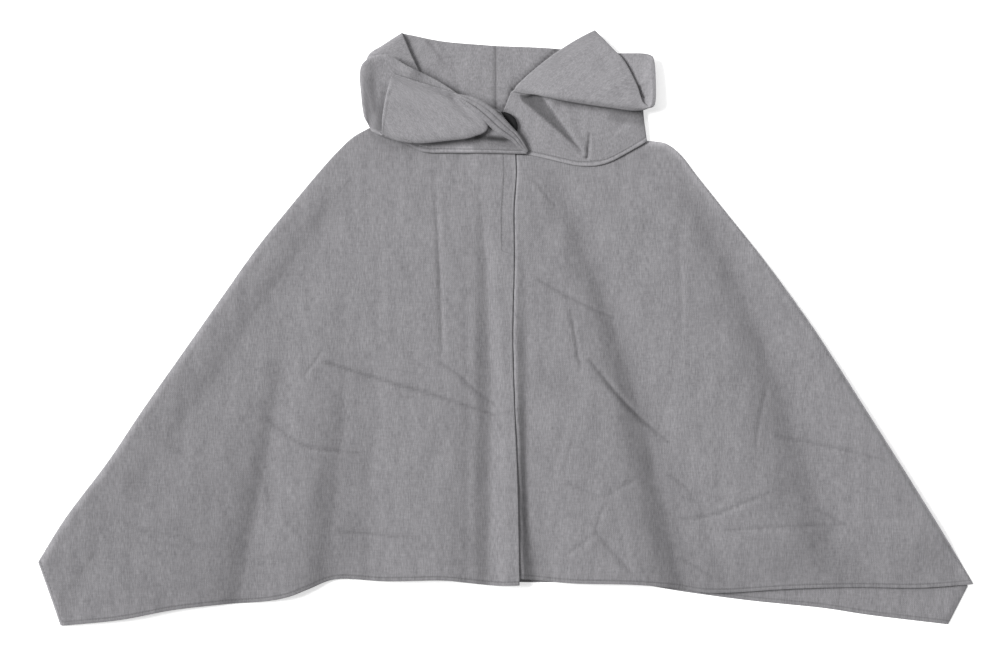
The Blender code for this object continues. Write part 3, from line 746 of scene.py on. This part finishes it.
def dented(name, sheet):
    """The sheet with its collar creases pressed in, no point lower than cloth lying flat, and the painted
    light and shade on each point.
    """
    up = np.linspace(0, 1, sheet.shape[1])[None, :]
    around = np.linspace(0, 1, sheet.shape[0])[:, None]
    # Painted light and shade over the sheet, multiplied into the cloth's colour.
    tone = np.ones(sheet.shape[:2])
    for x0, y0, x1, y1, deep0, deep1, wide0, wide1, swell, high, after, dark in COLLAR_CREASES[name]:
        line, share = strip(x0, y0, x1, y1, sheet[..., :2])
        apart = signed_distance(line, sheet[..., :2])
        depth = deep0 + (deep1 - deep0) * share
        width = wide0 + (wide1 - wide0) * share
        where = ease((high + 0.05 - up) / 0.05) * ease((around - after + 0.1) / 0.1)
        trough = depth * bell(apart, width)
        crest = swell * bell(apart - 2.2 * width, 1.4 * width)
        sheet[..., 2] += (crest - trough) * where
        # Painted shade along each crease.
        tone -= dark * bell(apart, width) * where
    sheet[..., 2] = np.maximum(sheet[..., 2], COLLAR_CLOTH / 2)
    # Painted shade, painted light where the darkness is negative, and the dark centre-back seam line.
    for x0, y0, x1, y1, wide0, wide1, dark, soft, low, high, after, until in PAINTED_COLLAR_SHADES[name]:
        line, share = strip(x0, y0, x1, y1, sheet[..., :2])
        beyond = distance_to(line, sheet[..., :2]) - wide0 - (wide1 - wide0) * share
        where = ease((up - low + MARGIN) / MARGIN) * ease((high + MARGIN - up) / MARGIN)
        where = where * ease((around - after + MARGIN) / MARGIN) * ease((until + MARGIN - around) / MARGIN)
        tone *= 1 - dark * (1 - ease((beyond + soft / 2) / soft)) * where
    # Painted light on the flaps, which face the lamp more.
    if name != "collar_right_back":
        tone += FLAP_PAINTED_LIGHT * step(up, FLAP_FROM, 0.05) * step(around, 0.3, 0.1)
    return sheet, tone


def lengths_uv(middle):
    """UV in metres that follows the cloth: mean run of the rows one way and of the columns the other."""
    points = place(middle)
    down = np.linalg.norm(np.diff(points, axis=1), axis=-1)
    down = np.concatenate([np.zeros((len(points), 1)), np.cumsum(down, axis=1)], axis=1)
    across = np.linalg.norm(np.diff(points, axis=0), axis=-1).max(axis=1)
    across = np.concatenate([[0], np.cumsum(across)])
    return np.stack([np.broadcast_to(across[:, None], down.shape), down], axis=-1)


def collar_shell(name, middle, node, tone):
    """A collar sheet with a raised welt and a line of stitching along its seam."""
    uv = lengths_uv(middle)
    run = uv[..., 1] / MM
    line_a = NO_LINE
    if node != "collar_right_back":
        at, wide, high = WELT
        middle = middle.copy()
        middle[..., 2] += high * bell(run - at, wide)
        line_a = run - SEAM_STITCH
    # Painted light along the left half's seam, over the shade of the gap beneath it.
    if node == "collar_left":
        gain, wide = PAINTED_SEAM_LIGHT
        tone = tone * (1 + gain * bell(run, wide))
    marks = cloth_marks(run.shape, tone, line_a)
    return shell(name, middle, COLLAR_CLOTH, collar_cloth, node, marks, uv)


def link(tree, a, out, b, into):
    tree.links.new(a.outputs[out], b.inputs[into])


def fill(node, values):
    for key, value in values.items():
        node.inputs[key].default_value = value


def wool(name, tint=1.0, streak_scale=(720.0, 105.0)):
    """Brushed grey melange twill: streaked fibres, a fine diagonal weave and a soft nap."""
    material = bpy.data.materials.new(name)
    material.use_nodes = True
    tree = material.node_tree
    nodes = tree.nodes
    shader = nodes["Principled BSDF"]
    fill(shader, {"Roughness": 0.92, "Specular IOR Level": 0.2, "Sheen Weight": 0.12})
    fill(shader, {"Sheen Roughness": 0.55, "Sheen Tint": (0.9, 0.9, 0.92, 1.0)})
    uv = nodes.new("ShaderNodeUVMap")
    uv.uv_map = "cloth"

    def noise(scale_x, scale_y, detail, rough, shift):
        mapping = nodes.new("ShaderNodeMapping")
        fill(mapping, {"Scale": (scale_x, scale_y, 1.0), "Location": (shift, shift * 0.7, 0.0)})
        link(tree, uv, "UV", mapping, "Vector")
        texture = nodes.new("ShaderNodeTexNoise")
        fill(texture, {"Scale": 1.0, "Detail": detail, "Roughness": rough})
        link(tree, mapping, "Vector", texture, "Vector")
        return texture.outputs["Fac"]

    def maths(operation, a, b, clamp=False):
        node = nodes.new("ShaderNodeMath")
        node.operation = operation
        node.use_clamp = clamp
        for slot_index, value in enumerate((a, b)):
            if isinstance(value, (int, float)):
                node.inputs[slot_index].default_value = value
            elif value is not None:
                tree.links.new(value, node.inputs[slot_index])
        return node.outputs[0]

    def blend(*parts):
        total = maths("MULTIPLY", *parts[0])
        for part in parts[1:]:
            total = maths("ADD", total, maths("MULTIPLY", *part))
        return total

    streak = noise(*streak_scale, 3.0, 0.6, 1.3)
    cross = noise(110.0, 430.0, 2.0, 0.5, 7.1)
    fleck = noise(1200.0, 760.0, 2.0, 0.7, 3.9)
    cloud = noise(95.0, 22.0, 3.0, 0.5, 5.5)
    mix = blend((streak, 0.44), (cross, 0.14), (fleck, 0.24), (cloud, 0.18))
    ramp = nodes.new("ShaderNodeValToRGB")
    stops = ramp.color_ramp
    stops.elements[0].position = 0.36
    stops.elements[1].position = 0.64
    stops.elements[0].color = (0.190 * tint, 0.186 * tint, 0.196 * tint, 1.0)
    stops.elements[1].color = (0.378 * tint, 0.370 * tint, 0.386 * tint, 1.0)
    tree.links.new(mix, ramp.inputs["Fac"])

    def attribute(key):
        node = nodes.new("ShaderNodeAttribute")
        node.attribute_name = key
        return node.outputs["Fac"]

    def groove_at(key):
        ranged = nodes.new("ShaderNodeMapRange")
        ranged.interpolation_type = "SMOOTHSTEP"
        fill(ranged, {"From Min": 0.25, "From Max": 1.5, "To Min": 1.0, "To Max": 0.0})
        tree.links.new(maths("ABSOLUTE", attribute(key), None), ranged.inputs["Value"])
        return ranged.outputs["Result"]

    # Painted shade in the stitch grooves.
    groove = maths("MAXIMUM", groove_at("line_a"), groove_at("line_b"))
    dark = maths("SUBTRACT", 1.0, maths("MULTIPLY", groove, 0.19))
    # The painted light and shade of each point scales the colour.
    tone = maths("MULTIPLY", attribute("shade"), dark)
    toned = nodes.new("ShaderNodeVectorMath")
    toned.operation = "SCALE"
    link(tree, ramp, "Color", toned, 0)
    tree.links.new(tone, toned.inputs["Scale"])
    link(tree, toned, "Vector", shader, "Base Color")

    wave = nodes.new("ShaderNodeTexWave")
    wave.wave_type = "BANDS"
    wave.bands_direction = "DIAGONAL"
    fill(wave, {"Scale": 260.0, "Distortion": 1.6, "Detail": 1.0})
    link(tree, uv, "UV", wave, "Vector")
    height = blend((wave.outputs["Fac"], 0.35), (fleck, 0.5), (streak, 0.5))
    height = maths("SUBTRACT", height, maths("MULTIPLY", groove, 1.2))
    bump = nodes.new("ShaderNodeBump")
    fill(bump, {"Strength": 0.35, "Distance": 0.0006})
    tree.links.new(height, bump.inputs["Height"])
    link(tree, bump, "Normal", shader, "Normal")
    return material


def mottled(name, roughness, specular, kind, settings, dark, light):
    """A plain material whose colour runs between two greys by a texture in the object's own space."""
    material = bpy.data.materials.new(name)
    material.use_nodes = True
    tree = material.node_tree
    shader = tree.nodes["Principled BSDF"]
    fill(shader, {"Roughness": roughness, "Specular IOR Level": specular})
    coords = tree.nodes.new("ShaderNodeTexCoord")
    texture = tree.nodes.new(kind)
    fill(texture, settings)
    link(tree, coords, "Object", texture, "Vector")
    ramp = tree.nodes.new("ShaderNodeValToRGB")
    ramp.color_ramp.elements[0].color = dark
    ramp.color_ramp.elements[1].color = light
    link(tree, texture, "Fac", ramp, "Fac")
    link(tree, ramp, "Color", shader, "Base Color")
    return material


def stitches(name, host, node, lines):
    """One mesh of small stitches on a host piece along plan lines, their ends dipping into the cloth."""
    points = [v.co for v in host.data.vertices]
    tree = BVHTree.FromPolygons(points, [face.vertices[:] for face in host.data.polygons])
    shares = (0.0, 0.2, 0.5, 0.8, 1.0)
    lifts = (-0.3, 0.12, 0.2, 0.12, -0.3)
    sizes = (0.6, 0.95, 1.0, 0.95, 0.6)
    turns = [2 * pi * k / STITCH_SIDES for k in range(STITCH_SIDES)]
    verts, faces = [], []
    for line in lines:
        line = np.asarray(line, float)
        length = np.linalg.norm(np.diff(line, axis=0), axis=1).sum() * UNIT / MM
        for k in range(int(length / STITCH_PITCH)):
            ends = along(line, [k * STITCH_PITCH / length, (k * STITCH_PITCH + STITCH_LENGTH) / length])
            spine = []
            for share, lift in zip(shares, lifts):
                above = place(np.append(ends[0] + (ends[1] - ends[0]) * share, 60.0))
                hit, normal, _, _ = tree.ray_cast(Vector(above), Vector((0.0, 0.0, -1.0)))
                if hit is not None:
                    normal = normal if normal.z > 0 else -normal
                    spine.append((hit + normal * lift * MM, normal))
            heights = [point.z for point, _ in spine]
            if len(spine) < len(shares) or max(heights) - min(heights) > STITCH_STEP * MM:
                continue
            way = (spine[-1][0] - spine[0][0]).normalized()
            first = len(verts)
            for (point, normal), size in zip(spine, sizes):
                side = way.cross(normal).normalized()
                radius = STITCH_RADIUS * MM * size
                verts += [point + side * cos(t) * radius + normal * sin(t) * radius for t in turns]
            for ring in range(len(shares) - 1):
                start = first + ring * STITCH_SIDES
                for t in range(STITCH_SIDES):
                    p, q = start + t, start + (t + 1) % STITCH_SIDES
                    faces.append((p, q, q + STITCH_SIDES, p + STITCH_SIDES))
            last = first + (len(shares) - 1) * STITCH_SIDES
            faces.append(tuple(first + t for t in reversed(range(STITCH_SIDES))))
            faces.append(tuple(last + t for t in range(STITCH_SIDES)))
    mesh = bpy.data.meshes.new(name)
    mesh.from_pydata(verts, [], faces)
    mesh.update()
    face_outward(mesh)
    return dress(name, mesh, sewing_thread, node)


def inset(line, gap, side):
    run = heading(line)
    return line + side * gap * np.stack([run[:, 1], -run[:, 0]], axis=1)


def shifted(line, dx, dy):
    return [(x + dx, y + dy) for x, y in line]


body_cloth = wool("grey melange wool", 0.78)
# The collar's copy of the wool is lighter than the body's: painted light, for layers that face the lamp
# more.
collar_cloth = wool("grey melange wool collar", 0.84, (620.0, 230.0))
sewing_thread = mottled(
    "grey sewing thread", 0.8, 0.25, "ShaderNodeTexWave", {"Scale": 900.0, "Distortion": 2.0},
    (0.12, 0.118, 0.124, 1.0), (0.25, 0.246, 0.255, 1.0),
)
black_plastic = mottled(
    "black button", 0.6, 0.3, "ShaderNodeTexNoise", {"Scale": 90.0, "Detail": 4.0},
    (0.003, 0.003, 0.0035, 1.0), (0.008, 0.008, 0.009, 1.0),
)

right_shoulder = flowing(RIGHT_SHOULDER)
left_shoulder = flowing(LEFT_SHOULDER)
right_hem = flowing(RIGHT_HEM)
left_hem = flowing(LEFT_HEM)
back_hem = flowing(BACK_HEM)

# Back panel
shares = np.linspace(0, 1, 60) ** 1.4
right_side = inset(along(right_shoulder, shares), BACK_INSET, 1)
left_side = inset(along(left_shoulder, shares), BACK_INSET, -1)
right_side = [BACK_NECK[0]] + list(map(tuple, right_side[1:-1])) + [(47.0, 564.0), BACK_HEM[0]]
left_side = [BACK_NECK[-1]] + [tuple(p) for p in left_side[1:-1] if p[0] > BACK_NECK[-1][0] + 6]
left_side += [(967.0, 586.0), BACK_HEM[-1]]
corner = corner_share(left_side, len(left_side) - 2)
columns, rows, rows_after = BACK_GRID
plan = patch(flowing(BACK_NECK), back_hem, right_side, left_side, columns, rows, corner, rows_after)
middle = raised(plan, BACK_Z)
marks = cloth_marks(plan.shape[:2], line_b=distance_to(back_hem, plan) - HEM_STITCH)
back = shell("back", middle, CLOTH, body_cloth, "back_panel", marks)
back_area = sheet_area(middle)

# Right front, which laps over the left
side_line = list(right_shoulder) + list(RIGHT_END[1:])
corner = corner_share(side_line, len(right_shoulder) - 1)
columns, rows, rows_after = FRONT_GRID
neck, edge = flowing(RIGHT_NECK), flowing(PLACKET)
plan = patch(neck, right_hem, edge, side_line, columns, rows - rows_after, corner, rows_after)
z = front_height("front_right", plan, side_line, right_hem)
z = z + (LAP_Z - FRONT_Z) * ease((plan[..., 0] - LAP_FROM) / (LAP_FULL - LAP_FROM))
middle = raised(plan, z)
below_stitches = NO_LINE * ease((plan[..., 1] - LAP_STITCH_END) / 20.0)
# Painted light beside the lap's edge and painted shade along the shoulder's edge.
rims = ((PLACKET, 0.18, 2.4), (right_shoulder, -0.14, 4.0))
marks = cloth_marks(
    plan.shape[:2],
    painted_rim_light_and_shade(painted_crease_and_valley_shade("front_right", plan), plan, rims),
    distance_to(PLACKET, plan) - PLACKET_STITCH + below_stitches,
    np.minimum(distance_to(right_hem, plan), distance_to(RIGHT_END, plan)) - HEM_STITCH,
)
front_right = shell("right_front", middle, CLOTH, body_cloth, "front_right", marks)
front_right_area = sheet_area(middle)

# Left front
plan = patch(flowing(LEFT_NECK), left_hem, UNDERLAP, left_shoulder, columns, rows)
middle = raised(plan, front_height("front_left", plan, left_shoulder, left_hem))
# Painted light beside the lap's edge and along the shoulder's edge.
rims = ((PLACKET, 0.25, 4.5), (left_shoulder, 0.6, 5.5))
marks = cloth_marks(
    plan.shape[:2],
    painted_rim_light_and_shade(painted_crease_and_valley_shade("front_left", plan), plan, rims),
    line_b=distance_to(left_hem, plan) - HEM_STITCH,
)
front_left = shell("left_front", middle, CLOTH, body_cloth, "front_left", marks)
front_left_area = sheet_area(middle)

# Collar
left, left_painted_light_shade = collar_sheet("collar_left", LEFT_COLLAR, LEFT_STEPS)
collar_left = collar_shell("left_collar", left, "collar_left", left_painted_light_shade)
collar_left_area = sheet_area(left)
right, right_painted_light_shade = collar_sheet("collar_right", RIGHT_COLLAR, RIGHT_STEPS)
collar_front = collar_shell("right_collar_front", right, "collar_right_front", right_painted_light_shade)
collar_front_area = sheet_area(right)
rows = smooth(np.array([side_fold(row) for row in RIGHT_COLLAR_BACK]), [3 * RIB_FINE] * 4)
behind = smooth(rows.transpose(1, 0, 2), [n * ROUND_FINE for n in (2, 3, 3, 2, 2, 3, 3)])
behind, behind_painted_light_shade = dented("collar_right_back", behind)
collar_back = collar_shell("right_collar_back", behind, "collar_right_back", behind_painted_light_shade)
collar_back_area = sheet_area(behind)

# Front band of the right half
steps = [8 if FINE else 3] * (len(FRONT_BAND) - 1)
spine = smooth([row[:2] for row in FRONT_BAND], steps)
widths = smooth([row[2:] for row in FRONT_BAND], steps)
across = np.linspace(-1, 1, 25 if FINE else 9)
run = heading(spine)
turn = np.stack([-run[:, 1], run[:, 0]], axis=1)
band = np.empty((len(spine), len(across), 3))
band[..., :2] = spine[:, None] + turn[:, None] * across[None, :, None] * widths[:, None, :1]
base = widths[:, 1][:, None]
bulge = widths[:, 2][:, None]
groove = sum(deep * bell(across[None] - at, wide) for deep, at, wide in BAND_GROOVES)
band[..., 2] = base + bulge * (np.sqrt(np.maximum(1 - across[None] ** 2, 0)) - groove)
# Painted shade in the band's two grooves.
marks = cloth_marks(band.shape[:2], 1 - 0.3 * groove)
front_band = shell(
    "right_collar_front_band", band, BAND_CLOTH, collar_cloth, "collar_right_front", marks, lengths_uv(band)
)

# Button
radius, half = BUTTON_DIAMETER / 2, BUTTON_THICKNESS / 2
flat = radius - BUTTON_RIM
profile = [(0.0, -half), (flat, -half)]
profile += [(flat + BUTTON_RIM * cos(a), half * sin(a)) for a in np.linspace(-1.2, 1.2, 9)]
profile += [(radius - inward, half - deep) for inward, deep in BUTTON_FACE]
profile += [(0.0, half - BUTTON_DISH)]
mesh = bpy.data.meshes.new("neck_button")
bm = bmesh.new()
line = [bm.verts.new((x * MM, 0.0, height * MM)) for x, height in profile]
for a, b in zip(line[:-1], line[1:]):
    bm.edges.new((a, b))
bmesh.ops.spin(bm, geom=bm.verts[:] + bm.edges[:], cent=(0, 0, 0), axis=(0, 0, 1), angle=2 * pi, steps=96)
bmesh.ops.remove_doubles(bm, verts=bm.verts, dist=1e-6)
bmesh.ops.recalc_face_normals(bm, faces=bm.faces)
bm.to_mesh(mesh)
bm.free()
spot = place((BUTTON_AT[0] + BUTTON_SHIFT[0], BUTTON_AT[1] + BUTTON_SHIFT[1], BUTTON_Z))
tilt = Euler((radians(BUTTON_TILT[0]), radians(BUTTON_TILT[1]), 0.0))
dress("neck_button", mesh, black_plastic, "button", Vector(spot), tilt)

# Stitching
up = HEM_STITCH * MM / UNIT
placket_line = []
for y in np.arange(157.0, LAP_STITCH_END, 6.0):
    edge = np.interp(y, [p[1] for p in PLACKET], [p[0] for p in PLACKET])
    placket_line.append((edge - PLACKET_STITCH * MM / UNIT, y))
hem_line = shifted(right_hem[:-4], 0.0, -up)
side_line = shifted(RIGHT_END[:-1], up, -0.3 * up)
lines = [placket_line, hem_line, side_line]
right_stitches = stitches("right_front_stitches", front_right, "front_right", lines)
hem_line = shifted(left_hem[16:-6], 0.0, -up)
left_stitches = stitches("left_front_stitches", front_left, "front_left", [hem_line])
up = SEAM_STITCH * MM / UNIT
seam = shifted([row[:2] for row in RIGHT_COLLAR[3:-1]], 0.0, -up)
collar_right_stitches = stitches("right_collar_stitches", collar_front, "collar_right_front", [seam])
seam = shifted([row[:2] for row in LEFT_COLLAR[7:12]], 0.0, -up)
collar_left_stitches = stitches("left_collar_stitches", collar_left, "collar_left", [seam])

# Floor, lights and camera
floor_material = bpy.data.materials.new("floor")
floor_material.use_nodes = True
floor_shader = floor_material.node_tree.nodes["Principled BSDF"]
fill(floor_shader, {"Base Color": (0.95, 0.95, 0.95, 1.0), "Roughness": 0.9, "Specular IOR Level": 0.0})
fill(floor_shader, {"Emission Color": (1.0, 1.0, 1.0, 1.0), "Emission Strength": 0.5})
floor_mesh = bpy.data.meshes.new("floor")
bm = bmesh.new()
bmesh.ops.create_grid(bm, x_segments=1, y_segments=1, size=6.0)
bm.to_mesh(floor_mesh)
bm.free()
floor_mesh.materials.append(floor_material)
floor = add("floor", floor_mesh)
floor.location = (0.0, 0.0, -0.0002)


def sun(name, azimuth, elevation, softness, strength):
    """A distant soft light; azimuth 0 stands past the collar and turns towards the right front's side."""
    data = bpy.data.lights.new(name, "SUN")
    data.angle = radians(softness)
    data.energy = strength
    side = radians(azimuth)
    up = radians(elevation)
    toward_light = Vector((-sin(side) * cos(up), cos(side) * cos(up), sin(up)))
    add(name, data).rotation_euler = toward_light.to_track_quat("Z", "Y").to_euler()


sun("key", azimuth=74.0, elevation=42.0, softness=26.0, strength=4.1)

top_light = bpy.data.lights.new("top", "AREA")
top_light.shape = "RECTANGLE"
top_light.size = 0.7
top_light.size_y = 0.35
top_light.energy = 2.6
top = add("top", top_light)
top.location = (-0.1, 0.95, 1.0)
top.rotation_euler = Vector((0.0, 0.75, 1.0)).to_track_quat("Z", "Y").to_euler()

world = bpy.data.worlds.new("studio")
world.use_nodes = True
fill(world.node_tree.nodes["Background"], {"Color": (1.0, 1.0, 1.0, 1.0), "Strength": 0.3})
bpy.context.scene.world = world

camera_data = bpy.data.cameras.new("camera")
camera_data.sensor_width = SENSOR
camera_data.lens = SENSOR * CAMERA_HEIGHT / (PICTURE_WIDTH * UNIT)
camera = add("camera", camera_data)
camera_x = (PICTURE_WIDTH / 2 - CENTRE_X) * UNIT
camera.location = (camera_x, (CENTRE_Y - PICTURE_HEIGHT / 2) * UNIT, CAMERA_HEIGHT)
bpy.context.scene.camera = camera
bpy.context.scene.view_settings.view_transform = "Standard"
